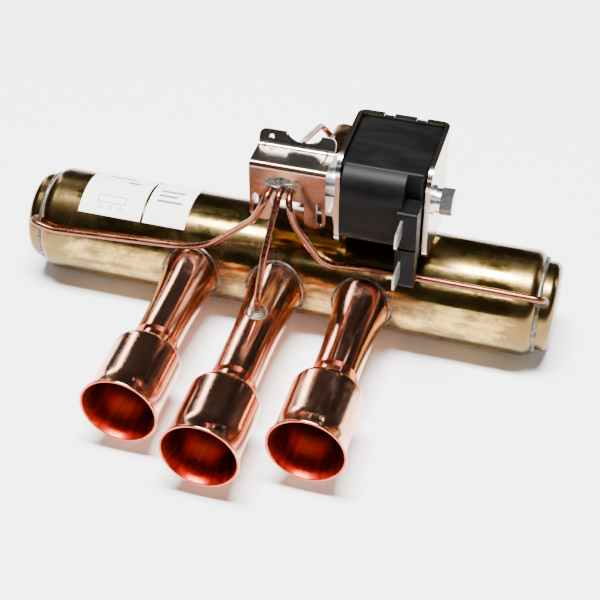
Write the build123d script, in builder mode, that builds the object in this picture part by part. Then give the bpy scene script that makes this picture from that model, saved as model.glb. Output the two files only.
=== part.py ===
"""Four way reversing valve for a heat pump: brass main valve, pilot valve and solenoid coil, in millimetres.

The main tube lies along X. Three ports leave it towards -Y and the discharge port towards +Y.
The origin is the middle of the bottom of the whole valve, +Z is up, and the coil is on the +X side.
"""
from build123d import *
from math import acos, cos, degrees, radians, sin, sqrt, tan
import os

os.makedirs("parts", exist_ok=True)

# ---- main tube and end caps
body_r = 19.0
body_wall = 1.8
roll_r = 4.5                    # outside radius of the rolled-in end
cap_neck_r = 16.0
cap_wall = 1.5
cap_skirt = 5.9                 # length of the wide skirt inside the tube
cap_reach = 9.9                 # from the end of the straight wall to the cap's face
cap_corner = 3.0
solder_lip = 0.9
solder_depth = 0.3              # from the tube's surface down to the solder in the end grooves

# ---- ports
port_pitch = 31.6
tube_r = 7.94
tube_wall = 1.0
side_reach = 55.5               # end of the outer copper stubs, from the tube's axis
middle_reach = 67.0
flare_start = 50.0
flare_base_r = 10.5
discharge_r = 6.35
discharge_reach = 81.0
discharge_flare_start = 40.0
discharge_base_r = 8.4
bead_width = 0.9
bead_height = 0.45

# ---- flared sockets
socket_r = 12.2
socket_wall = 1.0
socket_length = 35.0
socket_insert = 12.0
socket_neck = 3.5
socket_shoulder = 5.5
socket_bell = 8.0
socket_mouth_r = 13.7

# ---- main slide
seat_face = 7.5                 # how far the seat's flat face lies from the axis, towards the ports
seat_end_gap = 0.7              # from the seat's end to a piston at the end of its travel
seat_port_r = 6.2
seat_margin = 5.2               # from a port hole's edge to the seat's end
slide_flange = 3.0
slide_flange_width = 20.0
slide_flange_margin = 4.0
slide_wall = 1.4
slide_cavity_width = 13.0
slide_dome = 6.5
slide_roof = 1.5
boss_length = 36.0
boss_width = 11.7
boss_height = 3.5
link_thickness = 1.5
link_gap = 0.6
link_width = 18.0
link_window_gap = 0.45
link_hole_r = 5.0
link_hole_from_tab = 11.0
link_tab_drop = 9.0
piston_r = 16.6
piston_thickness = 2.4
seal_thickness = 1.0
seal_length = 3.4
seal_lip = 1.1
seal_end_gap = 0.35             # from a seal's lip at the end of its travel to the cap's skirt
rivet_r = 1.95
rivet_head_r = 3.5
rivet_head = 2.2
rivet_tail_r = 2.4
rivet_tail = 1.0

# ---- pilot valve
pilot_y = -9.0
pilot_z = 44.5
pilot_left = -8.0
pilot_right = 15.5
pilot_r = 6.7
pilot_bore = 4.6
pilot_end_wall = 3.0
tube_socket = 3.0
pilot_tube_r = 5.0
pilot_tube_wall = 0.4
core_face = 38.0
core_length = 12.8
core_hole_depth = 8.0
core_rim = 0.8
plunger_left = 16.0
pilot_pitch = 3.6               # between the capillary holes, and so the plunger's stroke
plunger_gap = 0.3
first_hole = 0.4                # from the pilot window's left edge to the first capillary
plunger_bore_r = 3.0
plunger_bore_depth = 9.0
spring_r = 2.4
spring_wire_r = 0.25
spring_turns = 7.0
stem_width = 3.0
stem_height = 1.8
stem_left = -3.5
pilot_seat_face = 1.5           # how far the pilot seat's face lies in front of the pilot's axis
pilot_seat_hole_r = 0.9
pilot_slide_height = 2.0
pilot_slide_width = 3.6
pilot_slide_wall = 0.6
finger_size = 1.6
finger_height = 1.2

# ---- bracket
sheet = 1.2
bracket_left = -9.3
bracket_right = 17.4
plate_gap = 0.1
top_gap = 0.7
leg_foot = 30.0
window_left = -1.6
window_right = 9.9
window_top = 39.5
leg_corner = 2.5
slot_width = 2.0
slot_length = 9.5
slot_edge = 1.1
slot_rise = 1.0
fold_r = 2.0
flange_bend = -5.5
flange_run = 2.5
flange_rise = 4.7
scoop_left = -0.1
scoop_right = 12.2
scoop_depth = 3.4
ear_round = 2.2
flange_hole_r = 0.9
flange_hole_x = -5.0
slit_width = 0.8
slit_inset = 2.4
slit_length = 6.0
wall_foot = 35.0
foot_front = -2.0
foot_rear = 8.0
wall_rear_top = 45.0

# ---- coil
yoke_left = 20.3
yoke_right = 52.5
yoke_sheet = 1.6
yoke_front = -16.0
yoke_back = 16.5
yoke_bottom = 21.5
yoke_top = 58.5
yoke_bend = 3.0
yoke_corner = 7.0
notch_depth = 0.9
notch_width = 3.6
notch_places = (0.34, 0.69)      # along the yoke's width
mould_gap = 0.3
mould_top = 57.5
mould_bottom = 30.0
nose_front = -22.3
nose_round = 10.0
nose_chin = 5.5
nose_left = 23.4
nose_root = -5.6
nose_right = 44.5
shoulder_y = -15.2
mould_round = 1.2
block_left = 43.3
block_right = 50.2
block_front = -24.0
block_top = 47.6
block_step = 26.0
block_bottom = 16.2
block_tail = 4.5
slit_z = 33.0
slit_depth = 1.5
winding_r = 11.3
winding_inner_r = 7.0
winding_left = 27.5
winding_right = 43.5
blade_width = 6.35
blade_thickness = 0.8
blade_length = 9.0
blade_root = 2.5
blade_tip = 1.4
blade_inset = 1.8
upper_blade_z = 41.9
lower_blade_z = 24.6

# ---- coil screw
screw_r = 2.45
washer_r = 5.0
washer_thickness = 1.1
spring_washer_r = 4.2
spring_washer_thickness = 1.6
spring_washer_slit = 0.3
spring_washer_slant = 25.0
hex_across_flats = 8.0
hex_height = 4.2
screw_reach = 6.5
screw_tip = 0.6

# ---- capillaries and label
capillary_r = 1.2
capillary_wall = 0.55
run_r = 21.3                    # how far the long runs lie from the tube's axis
left_tilt = 35.0                # the side runs' angles above the ports' side
left_low_tilt = 26.0            # where the left run dips before its cap
left_cap_tilt = 31.0
right_tilt = 44.2
left_run_start = 27.0
left_dip = 84.5
right_run_start = 31.0
pilot_reach = 23.4              # how far the side capillaries come out in front of the main axis
left_way = (-5.2, -24.6, 35.5)
right_way = (9.0, -24.8, 35.5)
right_low_way = (18.0, -22.6, 19.6)
middle_reach_out = 21.2
middle_way = (0.6, -33.6, 27.0)
middle_rise = 12.5
discharge_reach_out = 10.0
discharge_way = (-7.2, 40.0, 23.0)
discharge_rise = 13.0
left_bends = [4.5, 14, 22, 20, 3.6]
right_bends = [4.5, 14, 12, 14, 3.6]
middle_bends = [3.5, 24, 6]
discharge_bends = [8, 25, 4.5]
cap_ease = 0.3                  # how much nearer the left run comes to the tube over its cap
cap_entry = 6.0                 # from the end of the straight wall to the capillary
middle_entry = 40.0
discharge_entry = 72.0
discharge_tilt = 38.0
collar_width = 0.8
collar_height = 1.3
patch_margin = 2.7
patch_height = 7.6
patch_corner = 3.2
patch_rise = 1.2
label_left = -76.8
label_split = -52.5
label_right = -36.0
label_front_angle = 40.0
label_back_angle = 45.0
label_thickness = 0.15
label_gap = 1.0

# ---- clearances
slip = 0.05                     # radial clearance of every piece that fits or runs in another
solder_gap = 0.03               # solder and saddle joints
lie_gap = 0.02

# ---- what follows from them
body_bore = body_r - body_wall
tube_bore = tube_r - tube_wall
discharge_bore = discharge_r - tube_wall
socket_end = middle_reach + socket_length
body_y = (socket_end - discharge_reach) / 2
body_z = body_r
ports = (-port_pitch, 0.0, port_pitch)

# ---- along the main tube: seat, half a stroke, piston, seal, half a stroke, skirt of the cap
seat_half = seat_port_r + seat_margin + port_pitch
disc_face = seat_half + port_pitch / 2 + seat_end_gap
link_half = disc_face - link_thickness
seal_face = disc_face + piston_thickness
seal_end = seal_face + seal_length
skirt_end = seal_end + port_pitch / 2 + seal_end_gap + cap_skirt
body_straight = skirt_end + 5 * solder_gap      # half length of the straight wall
cap_end = body_straight + cap_reach


def at(x, y, z):
    """A point given from the main tube's axis."""
    return Vector(x, y + body_y, z + body_z)


PLAN = Plane(origin=at(0, 0, 0), x_dir=(1, 0, 0), z_dir=(0, 0, 1))
FRONT = Plane(origin=at(0, 0, 0), x_dir=(1, 0, 0), z_dir=(0, -1, 0))
SIDE = Plane(origin=at(0, 0, 0), x_dir=(0, 1, 0), z_dir=(1, 0, 0))
main_axis = Axis(at(0, 0, 0), (1, 0, 0))


def swelling(y):
    """How much wider than its plain tube a stub on the ports' side is at y from the main axis."""
    length = flare_start - sqrt(body_r ** 2 - flare_base_r ** 2) + 1
    height = flare_base_r - tube_r
    arc_r = (length ** 2 + height ** 2) / (2 * height)
    return arc_r - sqrt(arc_r ** 2 - max(flare_start - y, 0) ** 2)


def slanted(tilt):
    """The plane through the main axis whose second direction points to the ports' side, tilt degrees up."""
    return Plane(origin=at(0, 0, 0), x_dir=(1, 0, 0), z_dir=(0, -sin(radians(tilt)), -cos(radians(tilt))))


def keep(part, name):
    """Label a finished piece and write its file."""
    part.label = name
    export_step(part, "parts/" + name + ".step")


# ---- body tube: both ends are rolled in over the caps' skirts
roll_angle = degrees(acos(1 - (body_bore - cap_neck_r - slip) / (roll_r - body_wall)))
roll_centre = (body_straight, body_r - roll_r)

with BuildPart() as body_tube:
    with BuildSketch(FRONT):
        with BuildLine():
            Line((0, body_r), (body_straight, body_r))
            outer_roll = CenterArc(roll_centre, roll_r, 90, -roll_angle)
            inner_roll = CenterArc(roll_centre, roll_r - body_wall, 90, -roll_angle)
            Line(outer_roll @ 1, inner_roll @ 1)
            Polyline((body_straight, body_bore), (0, body_bore), (0, body_r))
        make_face()
        mirror(about=Plane.YZ)
    revolve(axis=main_axis)
    with BuildSketch(FRONT):
        with Locations(*[(x, 0) for x in ports]):
            Circle(tube_bore)
    extrude(amount=body_r + 1, mode=Mode.SUBTRACT)
    with BuildSketch(FRONT):
        Circle(discharge_bore)
    extrude(amount=-body_r - 1, mode=Mode.SUBTRACT)
keep(body_tube.part, "body_tube")


# ---- end caps: deep brass cups, closed end outwards
def end_cap(side, tilt):
    """A cap at the end given by side, with its capillary hole at the tilt."""
    skirt_r = body_bore - slip
    corner = (cap_end - cap_corner, cap_neck_r - cap_corner)
    with BuildPart() as cap:
        with BuildSketch(FRONT):
            with BuildLine():
                Polyline((skirt_end - cap_skirt, skirt_r), (skirt_end, skirt_r), (skirt_end, cap_neck_r),
                         (cap_end - cap_corner, cap_neck_r))
                CenterArc(corner, cap_corner, 90, -90)
                Polyline((cap_end, cap_neck_r - cap_corner), (cap_end, 0), (cap_end - cap_wall, 0),
                         (cap_end - cap_wall, cap_neck_r - cap_corner))
                CenterArc(corner, cap_corner - cap_wall, 0, 90)
                Polyline((cap_end - cap_corner, cap_neck_r - cap_wall),
                         (skirt_end - cap_skirt, cap_neck_r - cap_wall), (skirt_end - cap_skirt, skirt_r))
            make_face()
        revolve(axis=main_axis)
        if side < 0:
            mirror(about=Plane.YZ, mode=Mode.REPLACE)
        with BuildSketch(Plane(origin=at(side * (body_straight + cap_entry), 0, 0), x_dir=(1, 0, 0),
                               z_dir=slanted(tilt).y_dir)):
            Circle(capillary_r + slip)
        extrude(amount=body_r, mode=Mode.SUBTRACT)
    return cap.part


keep(end_cap(-1, left_cap_tilt), "end_cap_left")
keep(end_cap(1, right_tilt), "end_cap_right")

# ---- solder in the groove between the rolled end and the cap's neck
roll_in = radians(roll_angle)
lip_low = (body_straight + (roll_r - body_wall + slip) * sin(roll_in) + solder_gap * cos(roll_in),
           body_r - roll_r + (roll_r - body_wall + slip) * cos(roll_in) - solder_gap * sin(roll_in))
lip_high = (body_straight + (roll_r - solder_depth) * sin(roll_in) + solder_gap * cos(roll_in),
            body_r - roll_r + (roll_r - solder_depth) * cos(roll_in) - solder_gap * sin(roll_in))

with BuildPart() as end_solder:
    with BuildSketch(FRONT):
        with BuildLine():
            Polyline((lip_low[0], cap_neck_r + lie_gap), lip_low, lip_high, (lip_high[0] + solder_lip,
                     cap_neck_r + lie_gap), close=True)
        make_face()
        mirror(about=Plane.YZ)
    revolve(axis=main_axis)
    for side, tilt in ((-1, left_cap_tilt), (1, right_tilt)):
        with BuildSketch(Plane(origin=at(side * (body_straight + cap_entry), 0, 0), x_dir=(1, 0, 0),
                               z_dir=slanted(tilt).y_dir)):
            Circle(capillary_r + collar_width + slip)
        extrude(amount=body_r, mode=Mode.SUBTRACT)
keep(end_solder.part, "end_solder")


# ---- copper stubs, saddled on the body tube and swelling towards it
def stub(x, out, reach, radius, bore, base_r, swell_start, hole_y, hole_dir):
    """A copper stub at x. out is -1 for the ports' side; hole_y places a capillary hole along hole_dir."""
    root = sqrt(body_r ** 2 - base_r ** 2) - 1
    with BuildPart() as copper:
        with BuildSketch(PLAN):
            with BuildLine():
                TangentArc((x + radius, out * swell_start), (x + base_r, out * root), tangent=(0, -out))
                Polyline((x + radius, out * swell_start), (x + radius, out * reach), (x + bore, out * reach),
                         (x + bore, out * root), (x + base_r, out * root))
            make_face()
        revolve(axis=Axis(at(x, 0, 0), (0, 1, 0)))
        with BuildSketch(SIDE.offset(x)):
            Circle(body_r + solder_gap)
        extrude(amount=base_r + 2, both=True, mode=Mode.SUBTRACT)
        if hole_y:
            with BuildSketch(Plane(origin=at(x, hole_y, 0), x_dir=(0, 1, 0), z_dir=hole_dir)):
                Circle(capillary_r + slip)
            extrude(amount=radius * 1.5, mode=Mode.SUBTRACT)
    return copper.part


discharge_entry_dir = (-sin(radians(discharge_tilt)), 0, cos(radians(discharge_tilt)))
keep(stub(-port_pitch, -1, side_reach, tube_r, tube_bore, flare_base_r, flare_start, None, None), "stub_left")
keep(stub(0, -1, middle_reach, tube_r, tube_bore, flare_base_r, flare_start, -middle_entry, (0, 0, 1)),
     "stub_middle")
keep(stub(port_pitch, -1, side_reach, tube_r, tube_bore, flare_base_r, flare_start, None, None), "stub_right")
keep(stub(0, 1, discharge_reach, discharge_r, discharge_bore, discharge_base_r, discharge_flare_start,
          discharge_entry, discharge_entry_dir), "discharge_stub")

# ---- braze beads: low saddle rings on the body round each stub
with BuildPart() as bead_columns:
    with BuildSketch(FRONT):
        with Locations(*[(x, 0) for x in ports]):
            Circle(flare_base_r + bead_width)
        with Locations(*[(x, 0) for x in ports]):
            Circle(flare_base_r + solder_gap, mode=Mode.SUBTRACT)
    extrude(amount=body_r + 1)
    with BuildSketch(FRONT):
        Circle(discharge_base_r + bead_width)
        Circle(discharge_base_r + solder_gap, mode=Mode.SUBTRACT)
    extrude(amount=-body_r - 1)

with BuildPart() as braze_beads:
    with BuildSketch(SIDE.offset(-port_pitch - flare_base_r - bead_width - 1)):
        Circle(body_r + bead_height)
        Circle(body_r + solder_gap, mode=Mode.SUBTRACT)
    extrude(amount=2 * (port_pitch + flare_base_r + bead_width + 1))
    add(bead_columns.part, mode=Mode.INTERSECT)
keep(braze_beads.part, "braze_beads")


# ---- flared copper sockets, pushed into the stubs
def socket(x, reach):
    """A socket on the stub at x: plain neck, round shoulder, straight cup and bell mouth."""
    neck_r = tube_bore - slip
    shoulder = reach + socket_neck
    cup = shoulder + socket_shoulder
    bell = reach + socket_length - socket_bell
    mouth = reach + socket_length
    inner_cup = cup + socket_wall
    with BuildPart() as adapter:
        with BuildSketch(PLAN):
            with BuildLine():
                FilletPolyline((x + neck_r, socket_insert - reach), (x + neck_r, -shoulder - 0.5 * socket_wall),
                               (x + socket_r, -cup + socket_wall), (x + socket_r, -bell),
                               radius=[2 * socket_wall, 3 * socket_wall])
                TangentArc((x + socket_r, -bell), (x + socket_mouth_r, -mouth), tangent=(0, -1))
                Line((x + socket_mouth_r, -mouth), (x + socket_mouth_r - socket_wall, -mouth))
                TangentArc((x + socket_r - socket_wall, -bell), (x + socket_mouth_r - socket_wall, -mouth),
                           tangent=(0, -1))
                FilletPolyline((x + socket_r - socket_wall, -bell), (x + socket_r - socket_wall, -inner_cup),
                               (x + neck_r - socket_wall, -shoulder - 1.5 * socket_wall),
                               (x + neck_r - socket_wall, socket_insert - reach),
                               radius=[2 * socket_wall, 3 * socket_wall])
                Line((x + neck_r - socket_wall, socket_insert - reach), (x + neck_r, socket_insert - reach))
            make_face()
        revolve(axis=Axis(at(x, 0, 0), (0, 1, 0)))
        fillet(adapter.edges().filter_by(GeomType.CIRCLE).group_by(Axis.Y)[0], radius=0.4 * socket_wall)
    return adapter.part


keep(socket(-port_pitch, side_reach), "socket_left")
keep(socket(0, middle_reach), "socket_middle")
keep(socket(port_pitch, side_reach), "socket_right")

# ---- valve seat: a D-shaped brass bar with the three port holes
with BuildPart() as valve_seat:
    with BuildSketch(SIDE.offset(-seat_half)):
        Circle(body_bore - slip)
        with Locations((body_bore - seat_face, 0)):
            Rectangle(2 * body_bore, 2 * body_bore, mode=Mode.SUBTRACT)
    extrude(amount=2 * seat_half)
    with BuildSketch(FRONT):
        with Locations(*[(x, 0) for x in ports]):
            Circle(seat_port_r)
    extrude(amount=body_r, mode=Mode.SUBTRACT)
keep(valve_seat.part, "valve_seat")

# ---- slide block: rests over the left and middle ports
slide_x = -port_pitch / 2
slide_cavity = port_pitch + 2 * seat_port_r
slide_top = slide_flange + slide_dome - seat_face
with BuildPart() as slide_block:
    with BuildSketch(FRONT.offset(seat_face - slide_flange)):
        with Locations((slide_x, 0)):
            RectangleRounded(slide_cavity + 2 * slide_flange_margin, slide_flange_width, slide_flange)
    extrude(amount=slide_flange - lie_gap)
    with BuildSketch(FRONT.offset(-slide_top)):
        with Locations((slide_x, 0)):
            SlotOverall(slide_cavity + 2 * slide_wall, slide_cavity_width + 2 * slide_wall)
    extrude(amount=slide_dome + slide_flange / 2)
    with BuildSketch(FRONT.offset(-slide_top - boss_height)):
        with Locations((slide_x, 0)):
            SlotOverall(boss_length, boss_width)
    extrude(amount=boss_height + slide_roof / 2)
    with BuildSketch(FRONT.offset(-slide_top + slide_roof)):
        with Locations((slide_x, 0)):
            SlotOverall(slide_cavity, slide_cavity_width)
    extrude(amount=slide_dome + slide_flange, mode=Mode.SUBTRACT)
keep(slide_block.part, "slide_block")

# ---- piston link: a strip round the slide's boss, its ends turned down to the pistons
link_low = slide_top + link_gap
with BuildPart() as piston_link:
    with BuildSketch(FRONT.offset(-link_low)):
        with Locations((slide_x, 0)):
            Rectangle(2 * (link_half + link_thickness), link_width)
            SlotOverall(boss_length + 2 * link_window_gap, boss_width + 2 * link_window_gap, mode=Mode.SUBTRACT)
        with Locations((slide_x - link_half + link_hole_from_tab + link_hole_r, 0),
                       (slide_x + link_half - link_hole_from_tab - link_hole_r, 0)):
            Circle(link_hole_r, mode=Mode.SUBTRACT)
    extrude(amount=-link_thickness)
    with BuildSketch(FRONT.offset(-link_low)):
        with Locations((slide_x - link_half - link_thickness / 2, 0), (slide_x + link_half + link_thickness / 2, 0)):
            Rectangle(link_thickness, link_width)
    extrude(amount=link_tab_drop)
    with BuildSketch(SIDE.offset(slide_x - link_half - 2 * link_thickness)):
        Circle(rivet_r + slip)
    extrude(amount=2 * link_half + 4 * link_thickness, mode=Mode.SUBTRACT)
keep(piston_link.part, "piston_link")

# ---- pistons, their cup seals and the rivets that hold them to the link
seal_r = body_bore - slip - lie_gap


def disc(side):
    """A piston's backing disc on the given side of the slide."""
    with BuildPart() as piston:
        with BuildSketch(SIDE.offset(slide_x + side * disc_face)):
            Circle(piston_r)
            Circle(rivet_r + slip, mode=Mode.SUBTRACT)
        extrude(amount=side * piston_thickness)
    return piston.part


def cup_seal(side):
    """A soft cup whose lip runs along the bore, open towards the cap."""
    with BuildPart() as seal:
        with BuildSketch(SIDE.offset(slide_x + side * seal_face)):
            Circle(seal_r)
        extrude(amount=side * seal_length)
        with BuildSketch(SIDE.offset(slide_x + side * (seal_face + seal_thickness))):
            Circle(seal_r - seal_lip)
        extrude(amount=side * seal_length, mode=Mode.SUBTRACT)
        with BuildSketch(SIDE.offset(slide_x + side * seal_face)):
            Circle(rivet_r + slip)
        extrude(amount=side * seal_length, mode=Mode.SUBTRACT)
    return seal.part


keep(disc(-1), "piston_left")
keep(disc(1), "piston_right")
keep(cup_seal(-1), "seal_left")
keep(cup_seal(1), "seal_right")

with BuildPart() as piston_rivets:
    for side in (-1, 1):
        with BuildSketch(SIDE.offset(slide_x + side * (link_half - rivet_tail))):
            Circle(rivet_tail_r)
        extrude(amount=side * rivet_tail)
        with BuildSketch(SIDE.offset(slide_x + side * (link_half - rivet_tail / 2))):
            Circle(rivet_r)
        extrude(amount=side * (rivet_tail + link_thickness + piston_thickness + seal_thickness))
        with BuildSketch(SIDE.offset(slide_x + side * (seal_face + seal_thickness))):
            Circle(rivet_head_r)
        extrude(amount=side * rivet_head)
keep(piston_rivets.part, "piston_rivets")

# ---- pilot valve
pilot_holes = [window_left + first_hole + i * pilot_pitch for i in range(3)]


def pilot_section(x):
    """The plane across the pilot's axis at x, with the axis as its centre."""
    return Plane(origin=at(x, pilot_y, pilot_z), x_dir=(0, 1, 0), z_dir=(1, 0, 0))


with BuildPart() as pilot_body:
    with BuildSketch(pilot_section(pilot_left)):
        Circle(pilot_r)
    extrude(amount=pilot_right - pilot_left)
    with BuildSketch(pilot_section(pilot_left + pilot_end_wall)):
        Circle(pilot_bore)
    extrude(amount=pilot_right - pilot_left, mode=Mode.SUBTRACT)
    with BuildSketch(pilot_section(pilot_right - tube_socket)):
        Circle(pilot_tube_r + slip)
    extrude(amount=tube_socket + 1, mode=Mode.SUBTRACT)
    with BuildSketch(FRONT.offset(-pilot_y)):
        with Locations(*[(x, pilot_z) for x in pilot_holes]):
            Circle(capillary_r + slip)
    extrude(amount=pilot_r + 1, mode=Mode.SUBTRACT)
    with BuildSketch(FRONT.offset(-pilot_y)):
        with Locations((pilot_holes[1], pilot_z)):
            Circle(capillary_r + slip)
    extrude(amount=-pilot_r - 1, mode=Mode.SUBTRACT)
keep(pilot_body.part, "pilot_body")

tube_left = pilot_right - tube_socket + slip
tube_bore_r = pilot_tube_r - pilot_tube_wall
with BuildPart() as pilot_tube:
    with BuildSketch(pilot_section(tube_left)):
        Circle(pilot_tube_r)
        Circle(tube_bore_r, mode=Mode.SUBTRACT)
    extrude(amount=core_face + core_length - tube_left)
keep(pilot_tube.part, "pilot_tube")

with BuildPart() as fixed_core:
    with BuildSketch(pilot_section(core_face)):
        Circle(tube_bore_r - slip)
    extrude(amount=core_length)
    with BuildSketch(pilot_section(core_face + core_length - core_hole_depth)):
        Circle(screw_r + slip)
    extrude(amount=core_hole_depth, mode=Mode.SUBTRACT)
    chamfer(fixed_core.edges().group_by(Axis.X)[-1], length=core_rim / 2)
keep(fixed_core.part, "fixed_core")

# ---- plunger with its flat stem; the stem's hole carries the pilot slide's finger
plunger_right = core_face - pilot_pitch - plunger_gap
pilot_slide_x = (pilot_holes[0] + pilot_holes[1]) / 2
stem_front = pilot_y - pilot_seat_face + pilot_slide_height + lie_gap
with BuildPart() as plunger:
    with BuildSketch(pilot_section(plunger_left)):
        Circle(tube_bore_r - slip)
    extrude(amount=plunger_right - plunger_left)
    with BuildSketch(pilot_section(plunger_right - plunger_bore_depth)):
        Circle(plunger_bore_r)
    extrude(amount=plunger_bore_depth, mode=Mode.SUBTRACT)
    with BuildSketch(FRONT.offset(-stem_front)):
        with Locations(((stem_left + plunger_left + 1) / 2, pilot_z)):
            Rectangle(plunger_left + 1 - stem_left, stem_width)
    extrude(amount=-stem_height)
    with BuildSketch(FRONT.offset(-stem_front)):
        with Locations((pilot_slide_x, pilot_z)):
            Rectangle(finger_size + 2 * slip, finger_size + 2 * slip)
    extrude(amount=-stem_height, mode=Mode.SUBTRACT)
keep(plunger.part, "plunger")

with BuildPart() as pilot_slide:
    slide_span = pilot_pitch + 2 * (pilot_seat_hole_r + pilot_slide_wall)
    with BuildSketch(FRONT.offset(-stem_front + lie_gap)):
        with Locations((pilot_slide_x, pilot_z)):
            Rectangle(slide_span, pilot_slide_width)
    extrude(amount=pilot_slide_height - lie_gap)
    with BuildSketch(FRONT.offset(-stem_front + lie_gap - finger_height)):
        with Locations((pilot_slide_x, pilot_z)):
            Rectangle(finger_size, finger_size)
    extrude(amount=finger_height + pilot_slide_wall / 2)
    with BuildSketch(FRONT.offset(-stem_front + pilot_slide_wall)):
        with Locations((pilot_slide_x, pilot_z)):
            SlotOverall(pilot_pitch + 2 * pilot_seat_hole_r, 2 * pilot_seat_hole_r)
    extrude(amount=pilot_slide_height, mode=Mode.SUBTRACT)
keep(pilot_slide.part, "pilot_slide")

seat_left = pilot_left + pilot_end_wall + 1
seat_right = tube_left - 1
with BuildPart() as pilot_seat:
    with BuildSketch(pilot_section(seat_left)):
        Circle(pilot_bore - slip)
        with Locations((pilot_bore - pilot_seat_face, 0)):
            Rectangle(2 * pilot_bore, 2 * pilot_bore, mode=Mode.SUBTRACT)
    extrude(amount=seat_right - seat_left)
    with BuildSketch(FRONT.offset(-pilot_y)):
        with Locations(*[(x, pilot_z) for x in pilot_holes]):
            Circle(pilot_seat_hole_r)
    extrude(amount=pilot_r, mode=Mode.SUBTRACT)
keep(pilot_seat.part, "pilot_seat")

spring_left = plunger_right - plunger_bore_depth + spring_wire_r + lie_gap
spring_length = core_face - spring_wire_r - lie_gap - spring_left
with BuildPart() as pilot_spring:
    with BuildLine():
        coil = Helix(pitch=spring_length / spring_turns, height=spring_length, radius=spring_r,
                     center=at(spring_left, pilot_y, pilot_z), direction=(1, 0, 0))
    with BuildSketch(Plane(origin=coil @ 0, z_dir=coil % 0)):
        Circle(spring_wire_r)
    sweep()
keep(pilot_spring.part, "pilot_spring")

# ---- bracket: folded sheet over the pilot, its side walls standing on the body
plate_back = -pilot_y + pilot_r + plate_gap
plate_front = plate_back + sheet
top_low = pilot_z + pilot_r + top_gap
top_high = top_low + sheet
rise_angle = degrees(acos(flange_run / sqrt(flange_run ** 2 + flange_rise ** 2)))
bend_shift = sheet * tan(radians(rise_angle / 2))
tip = (flange_bend + flange_run, top_high + flange_rise)
inner_tip = (tip[0] + sheet * sin(radians(rise_angle)), tip[1] - sheet * cos(radians(rise_angle)))
left_slot_x = bracket_left + slot_edge + slot_width / 2
right_slot_x = bracket_right - slot_edge - slot_width / 2

with BuildPart() as pilot_bracket:
    with BuildSketch(SIDE.offset(bracket_left)):
        with BuildLine():
            FilletPolyline((-plate_front, leg_foot), (-plate_front, top_high), (flange_bend, top_high), tip,
                           radius=[fold_r, fold_r])
            Polyline(tip, inner_tip, (flange_bend + bend_shift, top_low), (-plate_back, top_low),
                     (-plate_back, leg_foot), (-plate_front, leg_foot))
        make_face()
    extrude(amount=bracket_right - bracket_left)
    with BuildSketch(FRONT.offset(plate_back - 1)):
        with Locations(((window_left + window_right) / 2, (window_top + leg_foot - 2) / 2)):
            Rectangle(window_right - window_left, window_top - leg_foot + 2)
        for x in (left_slot_x, right_slot_x):
            with Locations((x, leg_foot + slot_rise + slot_length / 2)):
                SlotOverall(slot_length, slot_width, rotation=90)
        with Locations(*[(x, pilot_z) for x in pilot_holes]):
            Circle(capillary_r + slip)
    extrude(amount=sheet + 2, mode=Mode.SUBTRACT)
    leg_edges = pilot_bracket.edges().filter_by(Axis.Y).filter_by_position(Axis.Z, at(0, 0, leg_foot - 0.1).Z,
                                                                           at(0, 0, leg_foot + 0.1).Z)
    fillet(leg_edges, radius=leg_corner)
    with BuildSketch(FRONT.offset(-flange_bend - 1)):
        with Locations(((scoop_left + scoop_right) / 2, tip[1])):
            Ellipse((scoop_right - scoop_left) / 2, scoop_depth)
        with Locations((flange_hole_x, (top_high + tip[1]) / 2)):
            Circle(flange_hole_r)
    extrude(amount=-flange_rise, mode=Mode.SUBTRACT)
    tab_edges = pilot_bracket.edges().filter_by(lambda e: e.center().Z > at(0, 0, tip[1] - sheet).Z)
    ear_edges = tab_edges.filter_by(lambda e: e.geom_type == GeomType.LINE and abs((e % 0).X) < 0.1)
    outer_ears = ear_edges.group_by(Axis.X)[0] + ear_edges.group_by(Axis.X)[-1]
    fillet(outer_ears, radius=ear_round)
    with BuildSketch(PLAN.offset(top_low - 1)):
        for x in (bracket_left + slit_inset, bracket_right - slit_inset):
            with Locations((x, flange_bend - slit_length / 2)):
                SlotOverall(slit_length, slit_width, rotation=90)
    extrude(amount=sheet + 2, mode=Mode.SUBTRACT)
    for x in (bracket_left, bracket_right - sheet):
        with BuildSketch(SIDE.offset(x)):
            with BuildLine():
                Polyline((-plate_front + fold_r, top_low + sheet / 2), (flange_bend, top_low + sheet / 2),
                         (foot_rear, wall_rear_top), (foot_rear, 0), (foot_front, 0), (foot_front, wall_foot),
                         (-plate_back, wall_foot), (-plate_back, top_low - 1), close=True)
            make_face()
            Circle(body_r + solder_gap, mode=Mode.SUBTRACT)
        extrude(amount=sheet)
    with BuildSketch(pilot_section(bracket_right - sheet - 1)):
        Circle(pilot_tube_r + 4 * slip)
    extrude(amount=sheet + 2, mode=Mode.SUBTRACT)
keep(pilot_bracket.part, "pilot_bracket")

# ---- solder patch on the front plate, round and above the capillaries
with BuildPart() as pilot_solder:
    with BuildSketch(FRONT.offset(plate_front + lie_gap)):
        with Locations((pilot_holes[1], pilot_z + patch_rise)):
            RectangleRounded(2 * (pilot_pitch + patch_margin), patch_height, patch_corner)
    extrude(amount=bead_width)
    fillet(pilot_solder.edges().group_by(Axis.Y)[0], radius=0.8 * bead_width)
    with BuildSketch(FRONT.offset(plate_front)):
        with Locations(*[(x, pilot_z) for x in pilot_holes]):
            Circle(capillary_r + solder_gap)
    extrude(amount=bead_width * 2, mode=Mode.SUBTRACT)
keep(pilot_solder.part, "pilot_solder")

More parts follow.
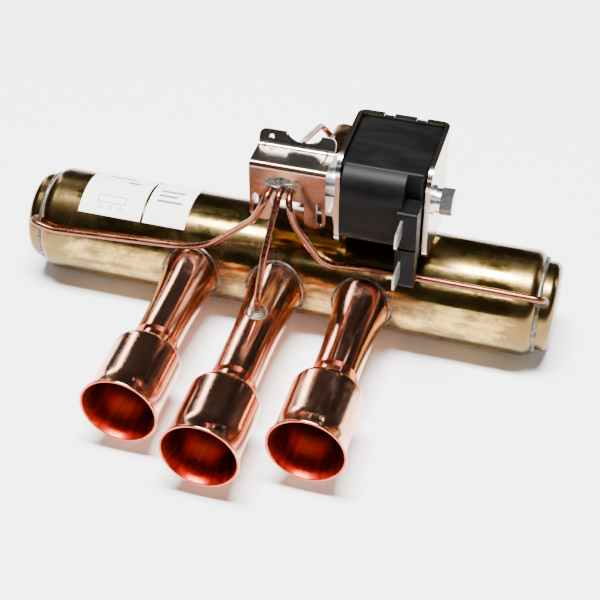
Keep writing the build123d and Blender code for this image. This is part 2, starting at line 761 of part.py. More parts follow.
# ---- coil yoke: a steel strip bent to a U, open to the front
core_hole_r = pilot_tube_r + 4 * slip
with BuildPart() as coil_yoke:
    with BuildSketch(PLAN.offset(yoke_bottom)):
        with BuildLine():
            FilletPolyline((yoke_left, yoke_front), (yoke_left, yoke_back), (yoke_right, yoke_back),
                           (yoke_right, yoke_front), radius=[yoke_bend, yoke_bend])
            Line((yoke_right, yoke_front), (yoke_right - yoke_sheet, yoke_front))
            FilletPolyline((yoke_right - yoke_sheet, yoke_front), (yoke_right - yoke_sheet, yoke_back - yoke_sheet),
                           (yoke_left + yoke_sheet, yoke_back - yoke_sheet), (yoke_left + yoke_sheet, yoke_front),
                           radius=[yoke_bend - yoke_sheet, yoke_bend - yoke_sheet])
            Line((yoke_left + yoke_sheet, yoke_front), (yoke_left, yoke_front))
        make_face()
    extrude(amount=yoke_top - yoke_bottom)
    fillet(coil_yoke.edges().filter_by(Axis.X).group_by(Axis.Y)[0], radius=yoke_corner)
    with BuildSketch(pilot_section(yoke_left - 1)):
        Circle(core_hole_r)
    extrude(amount=yoke_sheet + 2, mode=Mode.SUBTRACT)
    with BuildSketch(pilot_section(yoke_right - yoke_sheet - 1)):
        Circle(screw_r + 3 * slip)
    extrude(amount=yoke_sheet + 2, mode=Mode.SUBTRACT)
    with BuildSketch(FRONT.offset(-yoke_back - 1)):
        for place in notch_places:
            with Locations((yoke_left + place * (yoke_right - yoke_left), yoke_top)):
                SlotOverall(notch_width, 2 * notch_depth)
    extrude(amount=yoke_sheet + 2, mode=Mode.SUBTRACT)
keep(coil_yoke.part, "coil_yoke")

# ---- coil moulding: rounded block with a half-round nose and the terminal block
mould_left = yoke_left + yoke_sheet + mould_gap
mould_right = yoke_right - yoke_sheet - mould_gap
mould_back = yoke_back - yoke_sheet - 0.1
with BuildPart() as coil_moulding:
    with BuildSketch(PLAN.offset(mould_bottom)):
        with Locations(((mould_left + mould_right) / 2, (shoulder_y + mould_back) / 2)):
            RectangleRounded(mould_right - mould_left, mould_back - shoulder_y, yoke_bend - yoke_sheet + mould_gap)
    extrude(amount=mould_top - mould_bottom)
    fillet(coil_moulding.edges().group_by(Axis.Z)[-1], radius=mould_round)
    fillet(coil_moulding.edges().group_by(Axis.Z)[0], radius=mould_round)
    with BuildSketch(SIDE.offset(nose_left)):
        with BuildLine():
            FilletPolyline((nose_root, mould_top), (nose_front, mould_top),
                           (nose_front, mould_bottom), (nose_root, mould_bottom),
                           radius=[nose_round, nose_chin])
            Line((nose_root, mould_bottom), (nose_root, mould_top))
        make_face()
    extrude(amount=nose_right - nose_left)
    with BuildSketch(SIDE.offset(block_left)):
        with BuildLine():
            FilletPolyline((pilot_y + 2, block_top), (block_front, block_top), (block_front, block_bottom),
                           (block_front + block_tail, block_bottom), (block_front + block_tail, block_step),
                           (pilot_y + 2, block_step), close=False,
                           radius=[mould_round, 2 * mould_round, mould_round, mould_round])
            Line((pilot_y + 2, block_step), (pilot_y + 2, block_top))
        make_face()
    extrude(amount=block_right - block_left)
    with BuildSketch(FRONT.offset(-block_front)):
        with Locations(((block_left + block_right) / 2, slit_z)):
            Rectangle(2 * (block_right - block_left), blade_thickness)
    extrude(amount=-slit_depth, mode=Mode.SUBTRACT)
    for z in (upper_blade_z, lower_blade_z):
        with BuildSketch(FRONT.offset(-block_front - blade_root)):
            with Locations((block_left + blade_inset, z)):
                Rectangle(blade_thickness + 2 * slip, blade_width + 2 * slip)
        extrude(amount=blade_root + 1, mode=Mode.SUBTRACT)
    with BuildSketch(pilot_section(mould_left - 1)):
        Circle(pilot_tube_r + 2 * slip)
    extrude(amount=mould_right - mould_left + 2, mode=Mode.SUBTRACT)
    with BuildSketch(pilot_section(winding_left - 2 * slip)):
        Circle(winding_r + 2 * slip)
        Circle(winding_inner_r - 2 * slip, mode=Mode.SUBTRACT)
    extrude(amount=winding_right - winding_left + 4 * slip, mode=Mode.SUBTRACT)
keep(coil_moulding.part, "coil_moulding")

with BuildPart() as coil_winding:
    with BuildSketch(pilot_section(winding_left)):
        Circle(winding_r)
        Circle(winding_inner_r, mode=Mode.SUBTRACT)
    extrude(amount=winding_right - winding_left)
keep(coil_winding.part, "coil_winding")


# ---- blade terminals
def blade(z):
    """A flat blade rooted in the terminal block at height z, with a bevelled tip."""
    with BuildPart() as terminal:
        with BuildSketch(SIDE.offset(block_left + blade_inset - blade_thickness / 2)):
            with Locations((block_front + (blade_root - blade_length) / 2, z)):
                tab = Rectangle(blade_length + blade_root, blade_width)
            chamfer(tab.vertices().group_by(Axis.X)[0], length=blade_tip)
        extrude(amount=blade_thickness)
    return terminal.part


keep(blade(upper_blade_z), "terminal_upper")
keep(blade(lower_blade_z), "terminal_lower")

# ---- washers and the screw that clamp the coil to the core
with BuildPart() as flat_washer:
    with BuildSketch(pilot_section(yoke_right)):
        Circle(washer_r)
        Circle(screw_r + 3 * slip, mode=Mode.SUBTRACT)
    extrude(amount=washer_thickness)
keep(flat_washer.part, "flat_washer")

with BuildPart() as spring_washer:
    with BuildSketch(pilot_section(yoke_right + washer_thickness)):
        Circle(spring_washer_r)
        Circle(screw_r + 3 * slip, mode=Mode.SUBTRACT)
    extrude(amount=spring_washer_thickness)
    with BuildSketch(Plane(origin=at(yoke_right + washer_thickness, pilot_y, pilot_z + spring_washer_r),
                           x_dir=(1, 0, 0), z_dir=(0, 0, -1))):
        with Locations((spring_washer_thickness / 2, 0)):
            Rectangle(2 * spring_washer_thickness, spring_washer_slit, rotation=spring_washer_slant)
    extrude(amount=spring_washer_r - screw_r, mode=Mode.SUBTRACT)
keep(spring_washer.part, "spring_washer")

head_x = yoke_right + washer_thickness + spring_washer_thickness
with BuildPart() as coil_screw:
    with BuildSketch(pilot_section(head_x)):
        RegularPolygon(radius=hex_across_flats / 2, side_count=6, major_radius=False)
    extrude(amount=hex_height)
    with BuildSketch(pilot_section(core_face + core_length - screw_reach)):
        Circle(screw_r)
    extrude(amount=head_x - core_face - core_length + screw_reach + screw_tip)
    chamfer(coil_screw.edges().group_by(Axis.X)[0], length=screw_tip)
keep(coil_screw.part, "coil_screw")


# ---- capillaries: drawn copper tubes, straight runs joined by tangent bends
def capillary(points, bends):
    """A capillary whose centreline has its corners at points, bent there to the radii in bends."""
    with BuildPart() as tube:
        with BuildLine() as route:
            FilletPolyline(*[at(*p) for p in points], radius=bends)
        with BuildSketch(Plane(origin=route.line @ 0, z_dir=route.line % 0)):
            Circle(capillary_r)
            Circle(capillary_r - capillary_wall, mode=Mode.SUBTRACT)
        sweep()
    return tube.part


def on_run(x, tilt, radius):
    """A point at x and the given radius from the main axis, tilt degrees above the ports' side."""
    return (x, -radius * cos(radians(tilt)), radius * sin(radians(tilt)))


pilot_front = pilot_y - pilot_bore - lie_gap
cap_inside = cap_neck_r - cap_wall + lie_gap
cap_x = body_straight + cap_entry
stub_inside = tube_bore + lie_gap
discharge_inside = discharge_bore + lie_gap
left_points = [(pilot_holes[0], pilot_front, pilot_z), (pilot_holes[0], -pilot_reach, pilot_z), left_way,
               on_run(-left_run_start, left_tilt, run_r), on_run(-left_dip, left_low_tilt, run_r),
               on_run(-cap_x, left_cap_tilt, run_r - cap_ease), on_run(-cap_x, left_cap_tilt, cap_inside)]
right_points = [(pilot_holes[2], pilot_front, pilot_z), (pilot_holes[2], -pilot_reach, pilot_z), right_way,
                right_low_way, on_run(right_run_start, right_tilt, run_r), on_run(cap_x, right_tilt, run_r),
                on_run(cap_x, right_tilt, cap_inside)]
middle_points = [(pilot_holes[1], pilot_front, pilot_z), (pilot_holes[1], -middle_reach_out, pilot_z), middle_way,
                 (0, -middle_entry, middle_rise), (0, -middle_entry, stub_inside)]
along = (sin(radians(discharge_tilt)), cos(radians(discharge_tilt)))
discharge_points = [(pilot_holes[1], pilot_y + pilot_bore + lie_gap, pilot_z),
                    (pilot_holes[1], discharge_reach_out, pilot_z), discharge_way,
                    (-discharge_rise * along[0], discharge_entry, discharge_rise * along[1]),
                    (-discharge_inside * along[0], discharge_entry, discharge_inside * along[1])]
keep(capillary(left_points, left_bends), "capillary_left")
keep(capillary(middle_points, middle_bends), "capillary_middle")
keep(capillary(right_points, right_bends), "capillary_right")
keep(capillary(discharge_points, discharge_bends), "capillary_discharge")

# ---- solder collars where the capillaries enter the caps, the middle stub and the discharge stub
collars = [
    (Plane(origin=at(-cap_x, 0, 0), x_dir=(1, 0, 0), z_dir=slanted(left_cap_tilt).y_dir), cap_neck_r),
    (Plane(origin=at(cap_x, 0, 0), x_dir=(1, 0, 0), z_dir=slanted(right_tilt).y_dir), cap_neck_r),
    (Plane(origin=at(0, -middle_entry, 0), x_dir=(1, 0, 0), z_dir=(0, 0, 1)), tube_r),
    (Plane(origin=at(0, discharge_entry, 0), x_dir=(0, 1, 0), z_dir=discharge_entry_dir), discharge_r),
]
with BuildPart() as capillary_solder:
    for plane, wall_r in collars:
        with BuildSketch(plane.offset(wall_r - collar_height)):
            Circle(capillary_r + collar_width)
        extrude(amount=2 * collar_height, taper=12)
    for plane, wall_r in collars:
        with BuildSketch(plane):
            Circle(capillary_r + solder_gap)
        extrude(amount=wall_r + 2 * collar_height, mode=Mode.SUBTRACT)
    with BuildSketch(SIDE.offset(-cap_end)):
        Circle(cap_neck_r + solder_gap)
    extrude(amount=2 * cap_end, mode=Mode.SUBTRACT)
    with BuildSketch(FRONT):
        Circle(tube_r + swelling(middle_entry - capillary_r - collar_width) + solder_gap)
    extrude(amount=middle_reach, mode=Mode.SUBTRACT)
    with BuildSketch(FRONT):
        Circle(discharge_r + solder_gap)
    extrude(amount=-discharge_reach, mode=Mode.SUBTRACT)
keep(capillary_solder.part, "capillary_solder")

# ---- label: a thin skin of two panels round the upper side of the body
back = radians(label_back_angle)
with BuildPart() as label:
    with BuildSketch(Plane(origin=at(0, 0, 0), x_dir=(1, 0, 0), z_dir=(0, -cos(back), sin(back)))):
        for left, right in ((label_left, label_split - label_gap / 2), (label_split + label_gap / 2, label_right)):
            with Locations(((left + right) / 2, body_r + lie_gap + label_thickness / 2)):
                Rectangle(right - left, label_thickness)
    revolve(axis=main_axis, revolution_arc=label_front_angle + label_back_angle)
keep(label.part, "label")
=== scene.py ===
"""Four way reversing valve: brass main tube, copper ports, pilot valve, capillary tubes and solenoid coil."""

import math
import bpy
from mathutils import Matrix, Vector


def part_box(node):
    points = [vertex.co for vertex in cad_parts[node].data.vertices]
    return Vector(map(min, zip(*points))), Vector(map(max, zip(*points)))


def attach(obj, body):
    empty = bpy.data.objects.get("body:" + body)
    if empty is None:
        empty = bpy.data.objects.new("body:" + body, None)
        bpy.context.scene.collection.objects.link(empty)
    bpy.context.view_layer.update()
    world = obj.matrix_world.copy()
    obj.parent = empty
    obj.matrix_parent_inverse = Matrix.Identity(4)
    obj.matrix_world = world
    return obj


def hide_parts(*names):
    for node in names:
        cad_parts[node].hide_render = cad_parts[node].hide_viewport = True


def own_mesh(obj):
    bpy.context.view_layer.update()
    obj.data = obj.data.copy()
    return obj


bl_info = {
    "name": "Four way reversing valve",
    "version": (1, 0, 0),
    "blender": (4, 5, 0),
    "location": "3D View > Sidebar > Valve",
    "description": "Dresses the packed valve with its metals, plastic, solder and label",
    "category": "Object",
}

import bpy
import numpy as np

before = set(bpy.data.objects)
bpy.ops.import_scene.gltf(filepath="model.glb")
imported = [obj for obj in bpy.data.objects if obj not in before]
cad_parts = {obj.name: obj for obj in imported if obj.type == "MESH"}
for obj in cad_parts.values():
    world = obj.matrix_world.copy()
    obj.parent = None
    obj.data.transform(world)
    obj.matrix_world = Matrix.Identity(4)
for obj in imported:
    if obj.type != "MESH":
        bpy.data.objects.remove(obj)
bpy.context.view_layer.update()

# ---------------------------------------------------------------- places read from the frame, in millimetres
MM = 1000.0


def span(node):
    """The lowest and highest corner of a CAD node in millimetres."""
    low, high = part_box(node)
    return np.array(low) * MM, np.array(high) * MM


BODY_LOW, BODY_HIGH = span("body_tube")
AXIS_Y = float((BODY_LOW[1] + BODY_HIGH[1]) / 2)
AXIS_Z = float((BODY_LOW[2] + BODY_HIGH[2]) / 2)
BODY_R = float((BODY_HIGH[2] - BODY_LOW[2]) / 2)
LIP_X = float(BODY_HIGH[0])
PORT_X = float(span("socket_right")[0][0] + span("socket_right")[1][0]) / 2
SIDE_MOUTH = float(span("socket_right")[0][1])
MIDDLE_MOUTH = float(span("socket_middle")[0][1])
SOCKET_LENGTH = float(span("socket_middle")[1][1] - span("socket_middle")[0][1])
PLATE_FRONT = float(span("pilot_bracket")[0][1])
PATCH_LOW, PATCH_HIGH = span("pilot_solder")
BEAD_LOW, BEAD_HIGH = span("braze_beads")
LABEL_LEFT = float(span("label")[0][0])
PILOT_LOW, PILOT_HIGH = span("pilot_body")
PILOT_Y = float((PILOT_LOW[1] + PILOT_HIGH[1]) / 2)
PILOT_Z = float((PILOT_LOW[2] + PILOT_HIGH[2]) / 2)

# ---------------------------------------------------------------- sizes set here, in millimetres
CAPILLARY_PITCH = 3.6                   # between the capillaries on the bracket
STUB_R = 7.94
STUB_BASE_R = 10.5
ENTRY_FRONT = 40.0                      # how far before the main axis the middle capillary enters its stub
CUP_MIDDLE_R = 11.75                    # halfway through a socket's wall
CUP_FADE = SOCKET_LENGTH * 0.56         # from this depth the look of a socket's inside fades,
CUP_END = SOCKET_LENGTH * 0.58          # and from this one it is gone
BELL_LENGTH = 8.0
BELL_FLARE = 1.5
PRINT_BLUR = 0.12                       # half the width over which an edge of the label's print fades

# ---------------------------------------------------------------- the stage, in metres and degrees
FLOOR_HALF = 3.0
LIGHT_TARGET = np.array((0.0, 0.0, 0.02))
CAMERA_PLACE = (0.11409, -0.37175, 0.34659)
CAMERA_TILT = 48.92
CAMERA_TURN = 16.11

TAU = 2 * np.pi


# ---------------------------------------------------------------- sizes and colours that a user may change
class ValveMetals(bpy.types.PropertyGroup):
    brass: bpy.props.FloatVectorProperty(
        name="Brass", description="Clean brass of the main tube", subtype="COLOR", size=3,
        default=(0.54, 0.35, 0.085), min=0, max=1)
    tarnish: bpy.props.FloatVectorProperty(
        name="Tarnish", description="Dark stains on the brass", subtype="COLOR", size=3,
        default=(0.11, 0.065, 0.028), min=0, max=1)
    copper: bpy.props.FloatVectorProperty(
        name="Copper", description="Polished copper of the stubs and sockets", subtype="COLOR", size=3,
        default=(0.74, 0.32, 0.20), min=0, max=1)
    socket_inside: bpy.props.FloatVectorProperty(
        name="Socket inside", description="Fresh copper inside the flared sockets", subtype="COLOR", size=3,
        default=(0.72, 0.085, 0.035), min=0, max=1)
    capillary: bpy.props.FloatVectorProperty(
        name="Capillary", description="Annealed copper of the thin tubes", subtype="COLOR", size=3,
        default=(0.25, 0.085, 0.045), min=0, max=1)
    plate: bpy.props.FloatVectorProperty(
        name="Plated steel", description="Bright plated sheet of the bracket and yoke", subtype="COLOR", size=3,
        default=(0.56, 0.51, 0.46), min=0, max=1)
    tarnish_amount: bpy.props.FloatProperty(
        name="Tarnish amount", description="How far the stains have spread", default=0.85, min=0, max=1,
        subtype="FACTOR")


class ValveSolder(bpy.types.PropertyGroup):
    ring_width: bpy.props.FloatProperty(
        name="Ring width", description="Half width of the solder in an end groove, mm", default=1.0, min=0.3, max=2)
    bead_height: bpy.props.FloatProperty(
        name="Bead height", description="Half height of the braze round a stub, mm", default=0.38, min=0.2, max=1)
    lumps: bpy.props.FloatProperty(
        name="Lumps", description="How uneven the solder has set", default=0.35, min=0, max=1, subtype="FACTOR")


class ValveStudio(bpy.types.PropertyGroup):
    focal_length: bpy.props.FloatProperty(
        name="Focal length", description="Camera focal length, mm", default=84.7, min=20, max=200)
    key_power: bpy.props.FloatProperty(
        name="Key light", description="Power of the large overhead panel, W", default=150.0, min=0, max=400)
    sky: bpy.props.FloatProperty(
        name="Sky", description="Strength of the even light from all round", default=0.02, min=0, max=2)


# ---------------------------------------------------------------- shader maths
class Value:
    """A number in a material. Python operators on it add the Math nodes of the expression."""

    def __init__(self, maker, socket):
        self.maker = maker
        self.socket = socket

    def _math(self, operation, *terms):
        node = self.maker.add("ShaderNodeMath", dict(operation=operation))
        for index, term in enumerate(terms):
            self.maker.feed(node.inputs[index], term)
        return Value(self.maker, node.outputs[0])

    def __add__(self, other):
        return self._math("ADD", self, other)

    def __radd__(self, other):
        return self._math("ADD", other, self)

    def __sub__(self, other):
        return self._math("SUBTRACT", self, other)

    def __rsub__(self, other):
        return self._math("SUBTRACT", other, self)

    def __mul__(self, other):
        return self._math("MULTIPLY", self, other)

    def __rmul__(self, other):
        return self._math("MULTIPLY", other, self)

    def __abs__(self):
        return self._math("ABSOLUTE", self)

    def root(self):
        return self._math("SQRT", self)

    def most(self, other):
        return self._math("MAXIMUM", self, other)

    def turn(self, other):
        """The angle whose sine side is this value and whose cosine side is other."""
        return self._math("ARCTAN2", self, other)

    def step(self, low, high):
        """0 below low and 1 above high, smooth between; the other way round where low is above high."""
        node = self.maker.add("ShaderNodeMapRange", dict(interpolation_type="SMOOTHSTEP", clamp=True))
        self.maker.feed(node.inputs["Value"], self)
        ends = (low, high, 0.0, 1.0) if low < high else (high, low, 1.0, 0.0)
        for name, end in zip(("From Min", "From Max", "To Min", "To Max"), ends):
            node.inputs[name].default_value = end
        return Value(self.maker, node.outputs["Result"])


class Maker:
    """Builds one material round a Principled shader, with places in millimetres."""

    def __init__(self, name, metallic=1.0, roughness=0.3):
        self.material = bpy.data.materials.new(name)
        self.material.use_nodes = True
        self.tree = self.material.node_tree
        self.tree.nodes.clear()
        self.shader = self.add("ShaderNodeBsdfPrincipled", {})
        self.shader.inputs["Metallic"].default_value = metallic
        self.shader.inputs["Roughness"].default_value = roughness
        output = self.add("ShaderNodeOutputMaterial", {})
        self.tree.links.new(self.shader.outputs[0], output.inputs["Surface"])
        place = self.add("ShaderNodeTexCoord", {}).outputs["Object"]
        scaled = self.add("ShaderNodeVectorMath", dict(operation="SCALE"), Scale=MM)
        self.feed(scaled.inputs[0], place)
        self.place = scaled.outputs[0]
        parts = self.add("ShaderNodeSeparateXYZ", {})
        self.feed(parts.inputs[0], self.place)
        self.x, self.y, self.z = (Value(self, parts.outputs[i]) for i in range(3))

    def add(self, kind, settings, **values):
        """A node of the kind, with its settings first and then the values or links of its sockets."""
        node = self.tree.nodes.new(kind)
        for name, setting in settings.items():
            setattr(node, name, setting)
        for name, value in values.items():
            self.feed(node.inputs[name.replace("_", " ")], value)
        return node

    def feed(self, socket, value):
        if isinstance(value, Value):
            self.tree.links.new(value.socket, socket)
        elif isinstance(value, bpy.types.NodeSocket):
            self.tree.links.new(value, socket)
        else:
            socket.default_value = value

    def stretched(self, scale, shift=(0.0, 0.0, 0.0)):
        """The place stretched by three factors and moved, so that a pattern can run along an axis."""
        node = self.add("ShaderNodeMapping", dict(vector_type="POINT"))
        self.feed(node.inputs["Vector"], self.place)
        node.inputs["Scale"].default_value = scale
        node.inputs["Location"].default_value = shift
        return node.outputs[0]

    def noise(self, scale, detail=4.0, rough=0.55, shift=(0.0, 0.0, 0.0), warp=0.0):
        """Cloudy noise from 0 to 1. scale is cells per millimetre along X, Y and Z."""
        node = self.add("ShaderNodeTexNoise", dict(noise_dimensions="3D"), Scale=1.0, Detail=detail,
                        Roughness=rough, Distortion=warp)
        self.feed(node.inputs["Vector"], self.stretched(scale, shift))
        return Value(self, node.outputs["Fac"])

    def cells(self, scale):
        """Distance from the nearest of scattered points."""
        node = self.add("ShaderNodeTexVoronoi", dict(feature="F1"), Scale=1.0)
        self.feed(node.inputs["Vector"], self.stretched(scale))
        return Value(self, node.outputs["Distance"])

    def mix(self, amount, first, second):
        """The first colour where amount is 0 and the second where it is 1."""
        node = self.add("ShaderNodeMix", dict(data_type="RGBA", blend_type="MIX"))
        self.feed(node.inputs[0], amount)
        for socket, colour in ((node.inputs[6], first), (node.inputs[7], second)):
            self.feed(socket, colour if isinstance(colour, bpy.types.NodeSocket) else (*colour, 1.0))
        return node.outputs[2]

    def bump(self, height, strength, distance):
        """Relief whose height is in units of distance, given in millimetres."""
        node = self.add("ShaderNodeBump", {}, Strength=strength, Distance=distance / MM)
        self.feed(node.inputs["Height"], height)
        self.feed(self.shader.inputs["Normal"], node.outputs[0])

    def colour(self, value):
        self.feed(self.shader.inputs["Base Color"], value)

    def roughness(self, value):
        self.feed(self.shader.inputs["Roughness"], value)


def darker(colour, factor):
    """A colour with each part times factor, at most 1."""
    return tuple(min(1.0, c * factor) for c in colour)


def from_port(m, x):
    """Distance from the axis of the port at x, in millimetres."""
    dx = m.x - x
    dz = m.z - AXIS_Z
    return (dx * dx + dz * dz).root()


# ---------------------------------------------------------------- materials
def brass_finish(name, metals, stains):
    """Drawn brass: golden, with long dark streaks, red-brown patches, marks of heating at the joints and fine
    scratches, and painted shade that darkens it a little towards the bottom of the tube.
    """
    m = Maker(name)
    patches = m.noise((0.055, 0.09, 0.09), 6.0, 0.62, (3.0, 0.0, 0.0), 0.6)
    streaks = m.noise((0.018, 0.22, 0.22), 5.0, 0.6)
    blotches = m.noise((0.12, 0.12, 0.12), 7.0, 0.7, (7.0, 2.0, 5.0))
    specks = m.noise((1.1, 1.1, 1.1), 3.0, 0.6)
    wide = m.noise((0.03, 0.03, 0.03), 2.0, 0.5, (1.0, 9.0, 4.0))
    scratch = m.noise((0.06, 2.4, 2.4), 3.0, 0.5)
    rub = m.noise((1.6, 0.12, 0.12), 4.0, 0.6, (0.0, 4.0, 0.0), 0.3)
    ends = abs(m.x).step(LIP_X - 13.0, LIP_X - 1.0)
    left, middle, right = (from_port(m, x).step(19.0, STUB_BASE_R) for x in (-PORT_X, 0.0, PORT_X))
    ports = left.most(middle).most(right) * (m.y - AXIS_Y).step(2.0, -6.0)
    grime = m.noise((0.45, 0.7, 0.7), 6.0, 0.72, (2.0, 6.0, 3.0), 0.4)
    # painted shade: the stain mask rises a little towards the bottom of the tube
    underside_shade = (m.z - AXIS_Z).step(6.0, -8.0)
    stain = (patches * 0.50 + streaks * 0.40 + ends * 0.12 + blotches * 0.25 + wide * 0.15
             + grime * 0.22 + underside_shade * 0.06).step(0.66, 0.84)
    stain = stain * metals.tarnish_amount * stains
    red = (blotches * 0.7 + patches * 0.45 + ports * 0.18 + ends * 0.07).step(0.60, 0.80)
    clean = m.mix(wide.step(0.35, 0.65), tuple(metals.brass), (0.62, 0.44, 0.135))
    tone = m.mix(red * 0.8, clean, (0.36, 0.15, 0.065))
    tone = m.mix(stain, tone, tuple(metals.tarnish))
    tone = m.mix((specks * 0.7 + grime * 0.3).step(0.60, 0.68) * 0.6, tone, darker(metals.tarnish, 0.6))
    m.colour(tone)
    m.roughness(0.04 + stain * 0.16 + red * 0.07 + specks * 0.05 + rub * 0.05)
    m.bump(scratch * 0.12 + patches * 0.5 + specks * 0.10 + rub * 0.12, 0.45, 0.12)
    return m.material


def copper_finish(name, metals, port_x, mouth_y):
    """Polished drawn copper, streaked along the port, browner at the joints and deep red inside the socket,
    with painted shade that darkens the socket's inside deeper in.
    """
    m = Maker(name)
    drawn = m.noise((1.8, 0.035, 1.8), 3.0, 0.5, (port_x, 0.0, 0.0))
    cloud = m.noise((0.11, 0.06, 0.11), 5.0, 0.6, (port_x + 5.0, 1.0, 2.0), 0.5)
    dull = m.noise((0.30, 0.22, 0.30), 6.0, 0.68, (2.0, port_x, 8.0))
    specks = m.noise((1.7, 1.2, 1.7), 2.0, 0.5)
    radius = from_port(m, port_x)
    depth = m.y - mouth_y
    bell = (BELL_LENGTH - depth).most(0.0)
    middle = CUP_MIDDLE_R + bell * bell * (BELL_FLARE / BELL_LENGTH ** 2)
    inside = (middle - radius).step(-0.15, 0.15) * depth.step(CUP_END, CUP_FADE)
    stripes = m.noise((0.55, 0.01, 0.55), 2.0, 0.5, (port_x, 3.0, 1.0))
    # browned by heating near the brazed joint
    brown_zone = (m.y - AXIS_Y).step(-30.0, -17.0)
    stain = (cloud * 0.5 + dull * 0.5 + brown_zone * 0.10).step(0.52, 0.76)
    tone = m.mix(cloud.step(0.3, 0.7), tuple(metals.copper), (0.84, 0.44, 0.29))
    tone = m.mix(stain * 0.7, tone, (0.42, 0.17, 0.10))
    tone = m.mix(specks.step(0.68, 0.76) * 0.4, tone, (0.20, 0.08, 0.05))
    inside_and_depth_shade = m.mix(stripes.step(0.42, 0.60), tuple(metals.socket_inside), (0.50, 0.06, 0.025))
    # painted shade: the socket's inside darkens with depth
    inside_and_depth_shade = m.mix(depth.step(7.5, 18.0) * 0.94, inside_and_depth_shade, (0.09, 0.017, 0.010))
    m.colour(m.mix(inside, tone, inside_and_depth_shade))
    m.roughness(0.10 + stain * 0.20 + drawn * 0.08 + inside * 0.16)
    m.bump(drawn * 0.12 + cloud * 0.6 + specks * 0.08, 0.45, 0.12)
    return m.material


def capillary_finish(metals):
    """Annealed thin tube: reddish brown, darker in patches, with a soft shine."""
    m = Maker("capillary_copper")
    cloud = m.noise((0.10, 0.10, 0.10), 5.0, 0.6)
    fine = m.noise((0.9, 0.9, 0.9), 3.0, 0.6, (4.0, 0.0, 1.0))
    worn = (cloud * 0.6 + fine * 0.4).step(0.42, 0.66)
    tone = m.mix(worn, tuple(metals.capillary), (0.17, 0.065, 0.04))
    m.colour(m.mix(fine.step(0.62, 0.72) * 0.4, tone, (0.36, 0.14, 0.08)))
    m.roughness(0.20 + worn * 0.18 + fine * 0.05)
    m.bump(fine * 0.1 + cloud * 0.5, 0.12, 0.03)
    return m.material


def plate_finish(name, metals, along, shade, copper_reflection=0.0):
    """Bright plated sheet, brushed along one axis, with faint yellow tints and small stains. The last argument adds
    a painted reflection of the copper stubs, a brown, to what lies at the bracket's front."""
    m = Maker(name)
    scale = [1.3, 1.3, 1.3]
    scale[along] = 0.03
    brushed = m.noise(tuple(scale), 3.0, 0.6)
    tint = m.noise((0.09, 0.09, 0.09), 4.0, 0.6, (2.0, 2.0, 2.0))
    specks = m.noise((0.8, 0.8, 0.8), 4.0, 0.65, (9.0, 1.0, 0.0))
    tone = m.mix(tint.step(0.4, 0.66), darker(metals.plate, shade), (0.50 * shade, 0.40 * shade, 0.30 * shade))
    # painted reflection of the copper stubs: the bracket's front turns brown
    brown_zone = (m.y - PLATE_FRONT).step(1.5, 1.1) * copper_reflection
    tone = m.mix(brown_zone * (0.62 + tint * 0.4), tone, (0.30, 0.145, 0.085))
    m.colour(m.mix(specks.step(0.62, 0.74) * 0.6, tone, (0.16, 0.11, 0.08)))
    m.roughness(0.10 + brushed * 0.14 + specks * 0.05)
    m.bump(brushed * 0.22 + tint * 0.8, 0.4, 0.08)
    return m.material


def steel_finish(name, tone, rough):
    """Zinc plated or turned steel: pale, with fine turning marks, cloudy passivation and dark specks."""
    m = Maker(name)
    rings = m.noise((2.2, 0.3, 0.3), 2.0, 0.5)
    cloud = m.noise((0.35, 0.35, 0.35), 5.0, 0.65, (1.0, 5.0, 2.0))
    specks = m.noise((2.0, 2.0, 2.0), 3.0, 0.6, (6.0, 0.0, 3.0))
    shade = m.mix(cloud.step(0.35, 0.7), tone, darker(tone, 0.72))
    m.colour(m.mix(specks.step(0.60, 0.72) * 0.5, shade, (0.16, 0.15, 0.14)))
    m.roughness(rough + cloud * 0.14 + rings * 0.05)
    m.bump(rings * 0.4 + cloud * 0.4 + specks * 0.15, 0.5, 0.07)
    return m.material


def moulding_finish():
    """Black moulded plastic: satin skin with a fine grain, faint flow marks and a little grey dust."""
    m = Maker("coil_plastic", metallic=0.0, roughness=0.42)
    m.shader.inputs["Specular IOR Level"].default_value = 0.09
    grain = m.noise((3.2, 3.2, 3.2), 2.0, 0.5)
    flow = m.noise((0.05, 0.16, 0.16), 4.0, 0.6, (1.0, 1.0, 6.0), 0.8)
    dust = m.noise((0.6, 0.6, 0.6), 5.0, 0.7, (5.0, 3.0, 1.0))
    tone = m.mix(flow.step(0.35, 0.7), (0.0018, 0.0018, 0.0020), (0.0045, 0.0042, 0.0042))
    m.colour(m.mix(dust.step(0.60, 0.78) * 0.25, tone, (0.022, 0.020, 0.019)))
    m.roughness(0.34 + flow * 0.12 + grain * 0.08)
    m.bump(grain * 0.5 + flow * 0.2 + dust * 0.2, 0.35, 0.07)
    return m.material


def solder_finish(name, light, dark):
    """Set solder and braze: dull grey metal with lumps, pits and brown flux."""
    m = Maker(name)
    lumps = m.noise((0.6, 0.6, 0.6), 5.0, 0.65)
    pits = m.cells((1.5, 1.5, 1.5))
    flux = m.noise((0.25, 0.25, 0.25), 4.0, 0.6, (3.0, 3.0, 3.0))
    tone = m.mix(lumps.step(0.35, 0.7), light, dark)
    m.colour(m.mix(flux.step(0.52, 0.66) * 0.7, tone, (0.17, 0.10, 0.05)))
    m.roughness(0.34 + lumps * 0.25 + flux * 0.10)
    m.bump(lumps * 1.0 + pits * 0.3, 0.8, 0.25)
    return m.material


